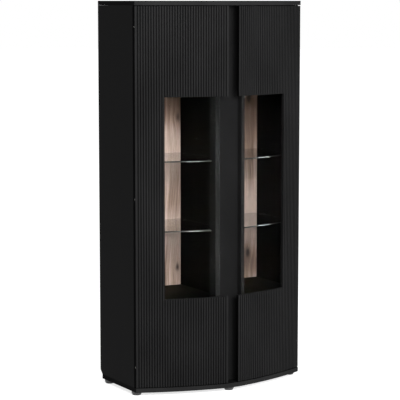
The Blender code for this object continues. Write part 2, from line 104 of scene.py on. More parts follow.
NAIL_MARGIN = 0.008  # from the edge of a back panel
NAIL_SPACING = 0.11

# Finish of the finer pieces
ARC_STEPS = 64
FILLET_STEPS = 4
TURN_STEPS = 48
EAR_STEPS = 12
EDGE_STEPS = 6
SCREW_STEPS = 7
EDGE_EASE = 0.0008  # rounding of the edges of boards and panels
DOOR_EASE = 0.0004
METAL_EASE = 0.0003
EASE_SEGMENTS = 2
EASE_ANGLE = math.radians(50)  # sharper edges are rounded
GLASS_ARRIS = 0.0005
SHELF_CORNER = 0.004
SMOOTH_ANGLE = math.radians(35)
PANE_INDEX = 1.01  # of refraction; kept low, so that the white studio leaves no veil on the panes
PANE_EDGE_INDEX = 1.2
SHELF_INDEX = 1.5

# The bow: one arc on each side of the flat centre, as in the CAD
HALF_WIDTH = CAD_HIGH.x
DOOR_LOW, DOOR_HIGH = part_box("door_panel_right")
RECESS_HALF = DOOR_LOW.x
DOOR_END = DOOR_HIGH.x
NOSE_Y = CAD_LOW.y
CORNER_Y = min(v.co.y for v in NODES["base_board"].data.vertices if v.co.x > HALF_WIDTH - DOOR_INSET)
BOW_RUN = HALF_WIDTH - RECESS_HALF
BOW_DEPTH = CORNER_Y - NOSE_Y
MEAN_SLOPE = math.atan2(BOW_DEPTH, BOW_RUN)
BOW_RADIUS = math.hypot(BOW_DEPTH, BOW_RUN) / (2 * math.sin(BOW_SWEEP / 2))
BOW_X = RECESS_HALF - BOW_RADIUS * math.sin(MEAN_SLOPE - BOW_SWEEP / 2)
BOW_Y = NOSE_Y + BOW_RADIUS * math.cos(MEAN_SLOPE - BOW_SWEEP / 2)


def bow_angle(x, inset):
    """Slope angle of the arc that runs inset behind the bow, where it crosses x."""
    return math.asin((x - BOW_X) / (BOW_RADIUS - inset))


def bow_point(angle, inset):
    """(x, y) on the arc that runs inset behind the bow, at a slope angle."""
    radius = BOW_RADIUS - inset
    return (BOW_X + radius * math.sin(angle), BOW_Y - radius * math.cos(angle))


def bow_arc(x_from, x_to, inset, steps):
    """Points along the arc that runs inset behind the bow, between two values of x."""
    start = bow_angle(x_from, inset)
    end = bow_angle(x_to, inset)
    return [bow_point(start + (end - start) * i / steps, inset) for i in range(steps + 1)]


# ---------------------------------------------------------------- materials


class Finish:
    """A Principled material with a few helpers to build its node tree."""

    def __init__(self, name, **values):
        self.material = bpy.data.materials.new(name)
        self.material.use_nodes = True
        self.tree = self.material.node_tree
        self.shader = self.tree.nodes["Principled BSDF"]
        self.place = self.node("ShaderNodeTexCoord").outputs["Object"]
        for socket, value in values.items():
            self.shader.inputs[socket.replace("_", " ")].default_value = value

    def node(self, kind, **settings):
        made = self.tree.nodes.new(kind)
        for key, value in settings.items():
            setattr(made, key, value)
        return made

    def join(self, output, target):
        self.tree.links.new(output, target)

    def feed(self, output, socket):
        self.join(output, self.shader.inputs[socket])

    def stretch(self, scale, source=None):
        """Coordinates multiplied by a scale for each axis."""
        mapping = self.node("ShaderNodeMapping")
        mapping.inputs["Scale"].default_value = scale
        self.join(source or self.place, mapping.inputs["Vector"])
        return mapping.outputs["Vector"]

    def noise(self, scale, detail=2.0, roughness=0.5, source=None):
        made = self.node("ShaderNodeTexNoise")
        made.inputs["Detail"].default_value = detail
        made.inputs["Roughness"].default_value = roughness
        made.inputs["Scale"].default_value = 1.0
        self.join(self.stretch(scale, source), made.inputs["Vector"])
        return made.outputs["Fac"]

    def ramp(self, value, *stops):
        """A colour ramp through (place, colour) stops."""
        made = self.node("ShaderNodeValToRGB")
        elements = made.color_ramp.elements
        while len(elements) < len(stops):
            elements.new(0.5)
        for element, (place, colour) in zip(elements, stops):
            element.position = place
            element.color = (*colour, 1.0)
        self.join(value, made.inputs["Fac"])
        return made.outputs["Color"]

    def range(self, value, low, high, from_low=0.3, from_high=0.7):
        made = self.node("ShaderNodeMapRange")
        for socket, number in (
            ("From Min", from_low),
            ("From Max", from_high),
            ("To Min", low),
            ("To Max", high),
        ):
            made.inputs[socket].default_value = number
        self.join(value, made.inputs["Value"])
        return made.outputs["Result"]

    def math(self, operation, first, second):
        """A Math node of two outputs or numbers."""
        made = self.node("ShaderNodeMath", operation=operation)
        for slot, value in zip(made.inputs, (first, second)):
            if isinstance(value, (int, float)):
                slot.default_value = value
            else:
                self.join(value, slot)
        return made.outputs["Value"]

    def mix(self, factor, first, second):
        """A colour mix of two outputs or colours."""
        made = self.node("ShaderNodeMix", data_type="RGBA")
        colours = [socket for socket in made.inputs if socket.type == "RGBA"]
        for slot, value in ((made.inputs["Factor"], factor), *zip(colours, (first, second))):
            if isinstance(value, (int, float)):
                slot.default_value = value
            elif isinstance(value, tuple):
                slot.default_value = (*value, 1.0)
            else:
                self.join(value, slot)
        return next(socket for socket in made.outputs if socket.type == "RGBA")

    def forward(self):
        """Y of the surface normal: -1 on faces that look to the front, 1 on those at the back."""
        axes = self.node("ShaderNodeSeparateXYZ")
        self.join(self.node("ShaderNodeTexCoord").outputs["Normal"], axes.inputs["Vector"])
        return axes.outputs["Y"]

    def spot(self, across, upright, x, z, half_width, half_height):
        """Squared distance from (x, z), 1 on the ellipse with these half sizes."""
        far_x = self.math("DIVIDE", self.math("SUBTRACT", across, x), half_width)
        far_z = self.math("DIVIDE", self.math("SUBTRACT", upright, z), half_height)
        return self.math("ADD", self.math("MULTIPLY", far_x, far_x), self.math("MULTIPLY", far_z, far_z))

    def bell(self, square, steepness):
        """1 in the middle of a spot, falling off to 0 around it."""
        return self.math("POWER", math.e, self.math("MULTIPLY", square, -steepness))

    def bump(self, height, strength, distance):
        made = self.node("ShaderNodeBump")
        made.inputs["Strength"].default_value = strength
        made.inputs["Distance"].default_value = distance
        self.join(height, made.inputs["Height"])
        self.feed(made.outputs["Normal"], "Normal")


def cloudy(made, cloud, tone):
    """A tone that drifts a little darker and lighter."""
    return made.ramp(cloud, (0.3, tuple(0.8 * c for c in tone)), (0.7, tuple(1.2 * c for c in tone)))


def black_foil(name, tone, specular, rough, front_sheen_tone=None):
    """Matte black foil: a fine pore, and a faint cloudiness in tone and gloss.

    With an extra tone, the faces that look to the front are painted in it, paler: a painted sheen on the
    edge band.
    """
    made = Finish(name, Specular_IOR_Level=specular)
    cloud = made.noise((5.0, 5.0, 3.0), detail=3.0)
    pore = made.noise((1400.0, 1400.0, 500.0), detail=2.0)
    base = cloudy(made, cloud, tone)
    if front_sheen_tone:
        # The faces that look to the front take the paler tone: painted sheen.
        front = made.range(made.forward(), 1.0, 0.0, -0.85, -0.6)
        base = made.mix(front, base, cloudy(made, cloud, front_sheen_tone))
    pitted = made.mix(made.range(pore, 0.0, 0.35), base, tuple(0.5 * c for c in tone))
    made.feed(pitted, "Base Color")
    made.feed(made.range(cloud, rough - 0.05, rough + 0.05), "Roughness")
    made.bump(pore, 0.12, 0.0002)
    return made.material


def raw_fibre(made):
    """Colour of the unfinished side of thin hardboard."""
    fleck = made.noise((260.0, 260.0, 260.0), detail=5.0, roughness=0.7)
    patch = made.noise((9.0, 9.0, 6.0), detail=3.0)
    mottled = made.math("ADD", made.math("MULTIPLY", fleck, 0.65), made.math("MULTIPLY", patch, 0.35))
    return made.ramp(mottled, (0.35, (0.105, 0.062, 0.036)), (0.65, (0.215, 0.140, 0.086)))


# Broad patches that make the oak decor darker (+) and lighter (-): x, z, half width, half height and
# shade
BROAD_SHADES = (
    (-0.05, 1.47, 0.20, 0.15, 0.20),
    (-0.05, 1.27, 0.20, 0.07, -0.06),
    (-0.05, 1.12, 0.20, 0.08, -0.10),
    (-0.05, 0.92, 0.20, 0.08, 0.04),
    (-0.05, 0.75, 0.20, 0.07, -0.14),
    (0.42, 1.42, 0.16, 0.24, 0.19),
    (0.42, 0.82, 0.16, 0.13, -0.14),
    (0.42, 0.55, 0.16, 0.07, 0.15),
    (-0.35, 0.95, 0.14, 0.20, 0.05),
    (0.14, 0.80, 0.12, 0.22, 0.05),
)

# Knots of the oak decor: x, z, half width, half height and darkness
KNOTS = (
    (-0.023, 1.349, 0.011, 0.020, 0.70),
    (-0.027, 0.561, 0.010, 0.019, 0.85),
    (0.411, 1.436, 0.012, 0.024, 1.2),
    (0.407, 0.604, 0.011, 0.024, 1.2),
    (-0.262, 1.118, 0.013, 0.024, 0.8),
    (-0.405, 0.742, 0.010, 0.018, 0.6),
    (-0.175, 0.588, 0.008, 0.015, 0.5),
    (-0.352, 1.382, 0.012, 0.021, 0.7),
    (0.118, 1.204, 0.012, 0.022, 0.8),
    (0.246, 0.846, 0.013, 0.025, 0.7),
    (0.082, 0.655, 0.009, 0.017, 0.5),
)


def oak_decor():
    """Knotty oak decor with an upright grain that flows round its knots; raw board behind."""
    made = Finish("oak_decor", Specular_IOR_Level=0.25)
    axes = made.node("ShaderNodeSeparateXYZ")
    made.join(made.place, axes.inputs["Vector"])
    across, upright = axes.outputs["X"], axes.outputs["Z"]
    shift, knots = 0.0, 0.0
    for x, z, half_width, half_height, darkness in KNOTS:
        square = made.spot(across, upright, x, z, half_width, half_height)
        halo = made.bell(square, 0.16)
        core = made.bell(square, 0.9)
        pushed = made.math("MULTIPLY", made.math("SUBTRACT", across, x), halo)
        shift = made.math("ADD", shift, pushed)
        stain = made.math("ADD", made.math("MULTIPLY", core, 0.85), made.math("MULTIPLY", halo, 0.25))
        knots = made.math("ADD", knots, made.math("MULTIPLY", stain, darkness))
    wander = made.range(made.noise((3.0, 3.0, 1.1), detail=2.0), -0.03, 0.03)
    bent = made.math("SUBTRACT", made.math("ADD", across, wander), made.math("MULTIPLY", shift, 0.7))
    flow = made.node("ShaderNodeCombineXYZ")
    made.join(bent, flow.inputs["X"])
    made.join(upright, flow.inputs["Z"])
    grain_place = flow.outputs["Vector"]
    fibre = made.noise((420.0, 1.0, 9.0), detail=4.0, roughness=0.6, source=grain_place)
    figure = made.noise((55.0, 1.0, 1.6), detail=3.0, roughness=0.6, source=grain_place)
    board = made.noise((7.0, 1.0, 0.9), detail=1.0, source=grain_place)
    pores = made.noise((900.0, 1.0, 26.0), detail=2.0, source=grain_place)
    tone = made.math("ADD", made.math("MULTIPLY", figure, 0.55), made.math("MULTIPLY", fibre, 0.25))
    tone = made.math("ADD", tone, made.math("MULTIPLY", board, 0.2))
    for x, z, half_width, half_height, shade in BROAD_SHADES:
        patch = made.bell(made.spot(across, upright, x, z, half_width, half_height), 1.0)
        tone = made.math("SUBTRACT", tone, made.math("MULTIPLY", patch, shade))
    base = made.ramp(
        tone,
        (0.32, (0.135, 0.085, 0.061)),
        (0.42, (0.270, 0.185, 0.144)),
        (0.50, (0.440, 0.324, 0.268)),
        (0.60, (0.600, 0.468, 0.405)),
    )
    pored = made.mix(made.range(pores, 0.0, 0.45, 0.52, 0.68), base, (0.20, 0.13, 0.09))
    knotted = made.mix(knots, pored, (0.022, 0.014, 0.010))
    behind = made.range(made.forward(), 0.0, 1.0, 0.4, 0.6)
    made.feed(made.mix(behind, knotted, raw_fibre(made)), "Base Color")
    made.feed(made.range(figure, 0.5, 0.62), "Roughness")
    made.bump(made.math("SUBTRACT", fibre, made.math("MULTIPLY", pores, 0.6)), 0.2, 0.0003)
    return made.material


def hardboard():
    """Thin hardboard, black on the side that shows inside and raw behind."""
    made = Finish("black_hardboard", Specular_IOR_Level=0.2)
    behind = made.range(made.forward(), 0.0, 1.0, 0.4, 0.6)
    print_noise = made.noise((700.0, 700.0, 300.0))
    black = made.ramp(print_noise, (0.3, (0.006, 0.006, 0.006)), (0.7, (0.012, 0.012, 0.012)))
    made.feed(made.mix(behind, black, raw_fibre(made)), "Base Color")
    made.feed(made.range(print_noise, 0.6, 0.75), "Roughness")
    made.bump(made.noise((500.0, 500.0, 500.0), detail=4.0), 0.3, 0.0003)
    return made.material


def clear_glass(name, tint, index):
    """Clear glass, with the faintest haze where it has been wiped."""
    made = Finish(name, Transmission_Weight=1.0, IOR=index)
    haze = made.noise((4.0, 4.0, 7.0), detail=3.0)
    made.feed(made.ramp(haze, (0.3, tint), (0.7, tuple(0.995 * c for c in tint))), "Base Color")
    made.feed(made.range(haze, 0.0, 0.006, 0.55, 0.8), "Roughness")
    return made.material


def glass_edge(name, pale, deep, clear, index):
    """Ground and polished edge of a pane or shelf, less clear than the faces."""
    made = Finish(name, Transmission_Weight=clear, IOR=index)
    grind = made.noise((90.0, 90.0, 900.0), detail=3.0)
    made.feed(made.ramp(grind, (0.3, deep), (0.7, pale)), "Base Color")
    made.feed(made.range(grind, 0.05, 0.12), "Roughness")
    made.bump(grind, 0.1, 0.0001)
    return made.material


def nickel(name, colour, rough):
    """Nickel-plated pressed steel: bright, with fine drawing marks and a slight haze."""
    made = Finish(name, Metallic=1.0)
    marks = made.noise((900.0, 900.0, 120.0), detail=3.0)
    haze = made.noise((60.0, 60.0, 60.0), detail=2.0)
    dull = tuple(0.82 * c for c in colour)
    made.feed(made.ramp(haze, (0.35, dull), (0.65, colour)), "Base Color")
    made.feed(made.range(marks, rough - 0.07, rough + 0.09), "Roughness")
    made.bump(marks, 0.12, 0.0001)
    return made.material


def moulded_plastic(name, tone):
    """Moulded plastic with a fine spark-eroded grain."""
    made = Finish(name, Specular_IOR_Level=0.5)
    grain = made.noise((1100.0, 1100.0, 1100.0), detail=2.0)
    scuff = made.noise((70.0, 70.0, 140.0), detail=4.0, roughness=0.65)
    worn = tuple(1.6 * c for c in tone)
    made.feed(made.ramp(scuff, (0.4, tone), (0.75, worn)), "Base Color")
    made.feed(made.range(grain, 0.38, 0.5), "Roughness")
    made.bump(grain, 0.25, 0.0002)
    return made.material


def studio_floor():
    """A pale floor that glows a little, so that it stays as white as the world behind it."""
    made = Finish("studio_floor", Specular_IOR_Level=0.0, Roughness=0.9, Emission_Strength=0.72)
    speck = made.noise((40.0, 40.0, 40.0), detail=4.0)
    made.feed(made.ramp(speck, (0.3, (0.38, 0.38, 0.38)), (0.7, (0.41, 0.41, 0.41))), "Base Color")
    made.shader.inputs["Emission Color"].default_value = (1.0, 1.0, 1.0, 1.0)
    return made.material


PANEL_FOIL = black_foil("panel_foil", (0.0038, 0.0038, 0.0039), 0.010, 0.52)
# The faces of the boards that look to the front take a paler tone: painted sheen on their edge band.
BOARD_FOIL = black_foil("board_foil", (0.0040, 0.0040, 0.0041), 0.002, 0.64, (0.0094, 0.0094, 0.0095))
# A lighter copy of the panel foil for the post face board: painted light on the recessed post.
POST_PAINTED_LIGHT_FOIL = black_foil("post_painted_light_foil", (0.0047, 0.0047, 0.0048), 0.010, 0.52)
# A lighter copy of the panel foil for the post walls: painted light on the post walls.
WALL_PAINTED_LIGHT_FOIL = black_foil("post_wall_painted_light_foil", (0.0084, 0.0084, 0.0085), 0.010, 0.52)
RIB_FOIL = black_foil("rib_foil", (0.0068, 0.0068, 0.0069), 0.013, 0.45)
# Darker foil for the rib grooves: painted shade in the grooves.
GROOVE_PAINTED_SHADE_FOIL = black_foil("groove_painted_shade_foil", (0.0032, 0.0032, 0.0033), 0.002, 0.60)
# Darker foil for the upright ends of the doors: painted shade on the ends, between the doors and beside
# the carcass.
DOOR_END_SHADE_FOIL = black_foil("door_end_painted_shade_foil", (0.0015, 0.0015, 0.0016), 0.002, 0.60)
OAK = oak_decor()
HARDBOARD = hardboard()
PANE_GLASS = clear_glass("pane_glass", (0.985, 0.995, 0.990), PANE_INDEX)
SHELF_GLASS = clear_glass("shelf_glass", (0.970, 0.990, 0.980), SHELF_INDEX)
PANE_EDGE = glass_edge("pane_edge", (0.095, 0.100, 0.096), (0.050, 0.055, 0.051), 0.6, PANE_EDGE_INDEX)
SHELF_EDGE = glass_edge("shelf_edge", (0.44, 0.50, 0.47), (0.30, 0.36, 0.33), 0.95, SHELF_INDEX)
HINGE_STEEL = nickel("hinge_steel", (0.66, 0.64, 0.61), 0.28)
PIN_STEEL = nickel("pin_steel", (0.70, 0.69, 0.67), 0.24)
FOOT_PLASTIC = moulded_plastic("foot_plastic", (0.013, 0.013, 0.0135))


# ---------------------------------------------------------------- mesh helpers


def add_mesh(name, bm, *materials):
    bmesh.ops.recalc_face_normals(bm, faces=bm.faces)
    mesh = bpy.data.meshes.new(name)
    bm.to_mesh(mesh)
    bm.free()
    for material in materials:
        mesh.materials.append(material)
    obj = bpy.data.objects.new(name, mesh)
    bpy.context.scene.collection.objects.link(obj)
    return obj


def smooth(obj):
    obj.data.shade_smooth()
    obj.data.set_sharp_from_angle(angle=SMOOTH_ANGLE)


def ease(obj, width):
    """Rounds an object's sharp edges with a Bevel modifier."""
    bevel = obj.modifiers.new("Eased edges", "BEVEL")
    bevel.width = width
    bevel.segments = EASE_SEGMENTS
    bevel.limit_method = "ANGLE"
    bevel.angle_limit = EASE_ANGLE


def bake_modifiers(obj):
    """Puts the mesh that the modifiers make in place of the object's own."""
    graph = bpy.context.evaluated_depsgraph_get()
    mesh = bpy.data.meshes.new_from_object(obj.evaluated_get(graph))
    obj.modifiers.clear()
    obj.data = mesh


def boolean(obj, tool, operation):
    """Cuts a tool from an object, or joins it on, and removes the tool."""
    modifier = obj.modifiers.new("Cut", "BOOLEAN")
    modifier.operation = operation
    modifier.object = tool
    modifier.solver = "EXACT"
    bake_modifiers(obj)
    bpy.data.objects.remove(tool, do_unlink=True)


def fillet(points, radius, closed=False):
    """A polyline in plan with its corners rounded."""
    rounded = []
    count = len(points)
    for i, point in enumerate(points):
        if not closed and i in (0, count - 1):
            rounded.append(tuple(point))
            continue
        corner = Vector(point)
        back = Vector(points[i - 1]) - corner
        ahead = Vector(points[(i + 1) % count]) - corner
        half_turn = (math.pi - back.angle(ahead)) / 2
        if half_turn < math.radians(5):
            rounded.append(tuple(point))
            continue
        reach = min(radius * math.tan(half_turn), 0.49 * back.length, 0.49 * ahead.length)
        start = corner + back.normalized() * reach
        end = corner + ahead.normalized() * reach
        for step in range(FILLET_STEPS + 1):
            share = step / FILLET_STEPS
            near = start.lerp(corner, share)
            far = corner.lerp(end, share)
            rounded.append(tuple(near.lerp(far, share)))
    return rounded


def prism(name, outline, bottom, top, side, materials, finish_of):
    """An upright prism on a plan outline, mirrored for side -1; finish_of picks a face's material."""
    bm = bmesh.new()
    low = [bm.verts.new((side * x, y, bottom)) for x, y in outline]
    high = [bm.verts.new((side * x, y, top)) for x, y in outline]
    bm.faces.new(low)
    bm.faces.new(reversed(high))
    for i in range(len(outline)):
        j = (i + 1) % len(outline)
        bm.faces.new((low[j], low[i], high[i], high[j]))
    bmesh.ops.recalc_face_normals(bm, faces=bm.faces)
    for face in bm.faces:
        face.material_index = int(finish_of(face))
    return add_mesh(name, bm, *materials)


def box(name, low, high):
    bm = bmesh.new()
    bmesh.ops.create_cube(bm, size=1.0)
    centre = (Vector(low) + Vector(high)) / 2
    size = Vector(high) - Vector(low)
    for vert in bm.verts:
        vert.co = centre + Vector((vert.co.x * size.x, vert.co.y * size.y, vert.co.z * size.z))
    return add_mesh(name, bm)


def turned(name, profile, material, steps=TURN_STEPS):
    """A solid turned round Z from (radius, z) points that start and end on the axis."""
    bm = bmesh.new()
    start = bm.verts.new((0, 0, profile[0][1]))
    end = bm.verts.new((0, 0, profile[-1][1]))
    rings = []
    for radius, z in profile[1:-1]:
        turns = [2 * math.pi * i / steps for i in range(steps)]
        rings.append([bm.verts.new((radius * math.cos(t), radius * math.sin(t), z)) for t in turns])
    for i in range(steps):
        j = (i + 1) % steps
        bm.faces.new((start, rings[0][j], rings[0][i]))
        for low, high in zip(rings, rings[1:]):
            bm.faces.new((low[i], low[j], high[j], high[i]))
        bm.faces.new((end, rings[-1][i], rings[-1][j]))
    obj = add_mesh(name, bm, material)
    smooth(obj)
    return obj


def frame_at(place, axis, upright=Vector((0, 0, 1))):
    """A matrix at place with local Z along axis and local Y as upright as it can be."""
    out = Vector(axis).normalized()
    right = upright.cross(out).normalized()
    up = out.cross(right)
    turn = Matrix((right, up, out)).transposed().to_4x4()
    return Matrix.Translation(place) @ turn


def finish_piece(obj, body, slot, *stands_for):
    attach(obj, body)
    if stands_for:
        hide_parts(*stands_for)


# ---------------------------------------------------------------- doors


def ribbed_line():
    """The ribbed front of a right door in plan, with rounded ribs and grooves."""
    start = bow_angle(RECESS_HALF, DOOR_INSET)
    end = bow_angle(DOOR_END, DOOR_INSET)
    count = round((end - start) * BOW_RADIUS / RIB_PITCH)
    groove = RIB_GROOVE_SHARE / 2
    flank = (1 - RIB_TOP_SHARE) / 2
    rib = [(groove, RIB_DEPTH), (flank, 0.0), (1 - flank, 0.0), (1 - groove, RIB_DEPTH)]
    points = [bow_point(start, DOOR_INSET)]
    for i in range(count):
        for share, depth in rib:
            outer_end = (i == 0 and share < 0.5) or (i == count - 1 and share > 0.5)
            if not outer_end:
                points.append(bow_point(start + (end - start) * (i + share) / count, DOOR_INSET + depth))
    points.append(bow_point(end, DOOR_INSET))
    return fillet(points, RIB_EDGE_RADIUS)


def cup_frame(side):
    """Where a hinge cup sits in plan: the point on the door's back, and the way its mouth faces."""
    inset = DOOR_INSET + DOOR
    angle = bow_angle(DOOR_END, inset) - CUP_FROM_END / BOW_RADIUS
    x, y = bow_point(angle, inset)
    return Vector((side * x, y, 0)), Vector((-side * math.sin(angle), math.cos(angle), 0))


def hinge_height(name, level):
    low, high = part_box(f"hinge_pin_{name}_{level}")
    return (low.z + high.z) / 2


def door_finish(face):
    """0 for the ribs and the back of a door, 1 for its two upright ends and 2 for its grooves; the ends
    and the grooves take darker foils, painted shade.
    """
    centre = face.calc_center_median()
    x = abs(centre.x)
    at_end = x > DOOR_END - RIB_EDGE_RADIUS or x < RECESS_HALF + RIB_EDGE_RADIUS
    # The upright ends take the darker foil: painted shade.
    if at_end and abs(face.normal.x) > 0.99:
        return 1
    behind_bow = BOW_RADIUS - math.hypot(x - BOW_X, centre.y - BOW_Y)
    # The grooves take the darker foil: painted shade.
    return 2 if DOOR_INSET + RIB_DEPTH / 4 < behind_bow < DOOR_INSET + 1.2 * RIB_DEPTH else 0


def make_door_front(name, side):
    back = bow_arc(RECESS_HALF, DOOR_END, DOOR_INSET + DOOR, ARC_STEPS)
    outline = ribbed_line() + list(reversed(back))
    low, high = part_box(f"door_panel_{name}")
    # The ends and the grooves get darker foils: painted shade.
    foils = (RIB_FOIL, DOOR_END_SHADE_FOIL, GROOVE_PAINTED_SHADE_FOIL)
    door = prism(f"ribbed_door_{name}", outline, low.z, high.z, side, foils, door_finish)
    pane_low, pane_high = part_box(f"door_glass_{name}")
    jamb = max(abs(pane_low.x), abs(pane_high.x)) - GLASS_LAP
    corners = sorted((0.0, side * jamb))
    window = box(
        "window_tool",
        (corners[0], 2 * NOSE_Y, pane_low.z + GLASS_LAP),
        (corners[1], 0.0, pane_high.z - GLASS_LAP),
    )
    boolean(door, window, "DIFFERENCE")
    place, mouth = cup_frame(side)
    radius = CUP_RADIUS + GAP
    depth = CUP_DEPTH + GAP
    for level in LEVELS:
        tool = turned("cup_tool", [(0, -depth), (radius, -depth), (radius, depth), (0, depth)], None)
        tool.matrix_world = frame_at(place + Vector((0, 0, hinge_height(name, level))), mouth)
        boolean(door, tool, "DIFFERENCE")
    smooth(door)
    ease(door, DOOR_EASE)
    finish_piece(door, f"{name}_door", "ribbed_front", f"door_panel_{name}")


def is_glass_edge(face):
    """Faces round a pane that bends about the vertical: its ends and its upper and lower edges."""
    return abs(face.normal.z) > 0.9 or abs(face.normal.y) < 0.6


def make_pane(name, side):
    inset = DOOR_INSET + DOOR + GAP
    low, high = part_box(f"door_glass_{name}")
    inner = min(abs(low.x), abs(high.x))
    outer = max(abs(low.x), abs(high.x))
    front = bow_arc(inner, outer, inset, ARC_STEPS)
    back = bow_arc(inner, outer, inset + GLASS, ARC_STEPS)
    outline = front + list(reversed(back))
    glass = (PANE_GLASS, PANE_EDGE)
    pane = prism(f"bent_pane_{name}", outline, low.z, high.z, side, glass, is_glass_edge)
    ease(pane, GLASS_ARRIS)
    smooth(pane)
    finish_piece(pane, f"{name}_door", "pane_glass", f"door_glass_{name}")


# ---------------------------------------------------------------- shelves


def make_shelf(name, side, level):
    node = f"glass_shelf_{name}_{level}"
    low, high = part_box(node)
    inner, outer = sorted((abs(low.x), abs(high.x)))
    plan = [(abs(v.co.x), v.co.y) for v in NODES[node].data.vertices]
    notch_y = min(y for x, y in plan if x < inner + GAP)
    notch_x = min(x for x, y in plan if y < notch_y - GAP)
    front = bow_arc(notch_x, outer, SHELF_INSET, ARC_STEPS)
    corners = [(inner, notch_y), (notch_x, notch_y)] + front + [(outer, high.y), (inner, high.y)]
    outline = fillet(corners, SHELF_CORNER, closed=True)
    shelf = prism(
        f"polished_shelf_{name}_{level}",
        outline,
        low.z,
        high.z,
        side,
        (SHELF_GLASS, SHELF_EDGE),
        lambda face: abs(face.normal.z) < 0.5,
    )
    ease(shelf, GLASS_ARRIS)
    smooth(shelf)
    finish_piece(shelf, "carcass", "shelf_glass", node)


# ---------------------------------------------------------------- hinges and screws


def screw_mesh(radius):
    """A pan-head screw with a cross recess, its head on z = 0."""
    height = SCREW_HEIGHT_SHARE * radius
    profile = [(0, 0), (radius, 0)]
    for i in range(1, SCREW_STEPS):
        turn = math.pi / 2 * i / SCREW_STEPS
        profile.append((radius * math.cos(turn), height * math.sin(turn)))
    profile.append((0, height))
    head = turned("screw_tool", profile, HINGE_STEEL, steps=24)
    reach = SCREW_RECESS_REACH * radius
    half = SCREW_RECESS_HALF_WIDTH * radius
    for turn in (0.0, math.pi / 2):
        low = (-reach, -half, SCREW_RECESS_FLOOR * height)
        slot = box("recess_tool", low, (reach, half, 2.0 * height))
        slot.matrix_world = Matrix.Rotation(turn, 4, "Z")
        boolean(head, slot, "DIFFERENCE")
    smooth(head)
    mesh = head.data
    mesh.name = "cross_screw"
    bpy.data.objects.remove(head, do_unlink=True)
    return mesh


def add_copy(name, mesh, place, axis):
    """A copy of a mesh built about the origin, moved to place with its +Z along axis."""
    moved = mesh.copy()
    moved.transform(frame_at(place, axis))
    obj = bpy.data.objects.new(name, moved)
    bpy.context.scene.collection.objects.link(obj)
    return obj


def add_screw(name, mesh, place, axis, body):
    finish_piece(add_copy(name, mesh, place, axis), body, "hinge_steel")


def cup_mesh():
    """A drawn cup with a flat rim and two screw ears, its mouth towards +Z."""
    inner = CUP_RADIUS - CUP_WALL
    rim = CUP_RADIUS + CUP_FLANGE
    high = CUP_SEAT + CUP_WALL
    bend = CUP_CORNER - CUP_DEPTH
    profile = [(0, -CUP_DEPTH), (CUP_RADIUS - CUP_CORNER, -CUP_DEPTH), (CUP_RADIUS, bend)]
    profile += [(CUP_RADIUS, CUP_SEAT), (rim, CUP_SEAT), (rim, high), (inner, high)]
    profile += [(inner, bend), (inner - CUP_CORNER, CUP_WALL - CUP_DEPTH)]
    profile += [(0, CUP_WALL - CUP_DEPTH)]
    cup = turned("cup_tool", profile, HINGE_STEEL)
    bm = bmesh.new()
    outline = []
    for end, start in ((1, 0.0), (-1, math.pi)):
        for i in range(EAR_STEPS + 1):
            turn = start + math.pi * i / EAR_STEPS
            x = EAR_RADIUS * math.cos(turn)
            outline.append((x, end * EAR_FROM_CUP + EAR_RADIUS * math.sin(turn)))
    low_ring = [bm.verts.new((x, y, CUP_SEAT)) for x, y in outline]
    high_ring = [bm.verts.new((x, y, high)) for x, y in outline]
    bm.faces.new(reversed(low_ring))
    bm.faces.new(high_ring)
    for i in range(len(outline)):
        j = (i + 1) % len(outline)
        bm.faces.new((low_ring[i], low_ring[j], high_ring[j], high_ring[i]))
    ears = add_mesh("ears_tool", bm, HINGE_STEEL)
    well_profile = [(0, -high), (CUP_RADIUS, -high), (CUP_RADIUS, 2 * high), (0, 2 * high)]
    well = turned("well_tool", well_profile, None)
    boolean(ears, well, "DIFFERENCE")
    boolean(cup, ears, "UNION")
    smooth(cup)
    mesh = cup.data
    mesh.name = "eared_cup"
    bpy.data.objects.remove(cup, do_unlink=True)
    return mesh


def make_hinges():
    cup = cup_mesh()
    screw = screw_mesh(SCREW_RADIUS)
    for name, side in SIDES:
        place, mouth = cup_frame(side)
        for level in LEVELS:
            centre = place + Vector((0, 0, hinge_height(name, level)))
            piece = add_copy(f"eared_cup_{name}_{level}", cup, centre, mouth)
            finish_piece(piece, f"{name}_door", "hinge_steel", f"hinge_cup_{name}_{level}")
            arm_low, arm_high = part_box(f"hinge_arm_{name}_{level}")
            plate_x = side * (max(abs(arm_low.x), abs(arm_high.x)) - PLATE_THICKNESS)
            plate_y = plate_middle(name, level)
            for end, word in ((1, "top"), (-1, "bottom")):
                ear = centre + Vector((0, 0, end * EAR_FROM_CUP)) + mouth * (CUP_SEAT + CUP_WALL)
                add_screw(f"cup_screw_{name}_{level}_{word}", screw, ear, mouth, f"{name}_door")
                plate = Vector((plate_x, plate_y, centre.z + end * PLATE_SCREW))
                add_screw(f"plate_screw_{name}_{level}_{word}", screw, plate, (-side, 0, 0), "carcass")


def plate_middle(name, level):
    """y of the middle of a hinge arm's plate, from the vertices at its top edge."""
    verts = NODES[f"hinge_arm_{name}_{level}"].data.vertices
    top = max(v.co.z for v in verts)
    ys = [v.co.y for v in verts if v.co.z > top - GAP]
    return (min(ys) + max(ys)) / 2


# ---------------------------------------------------------------- feet and backs


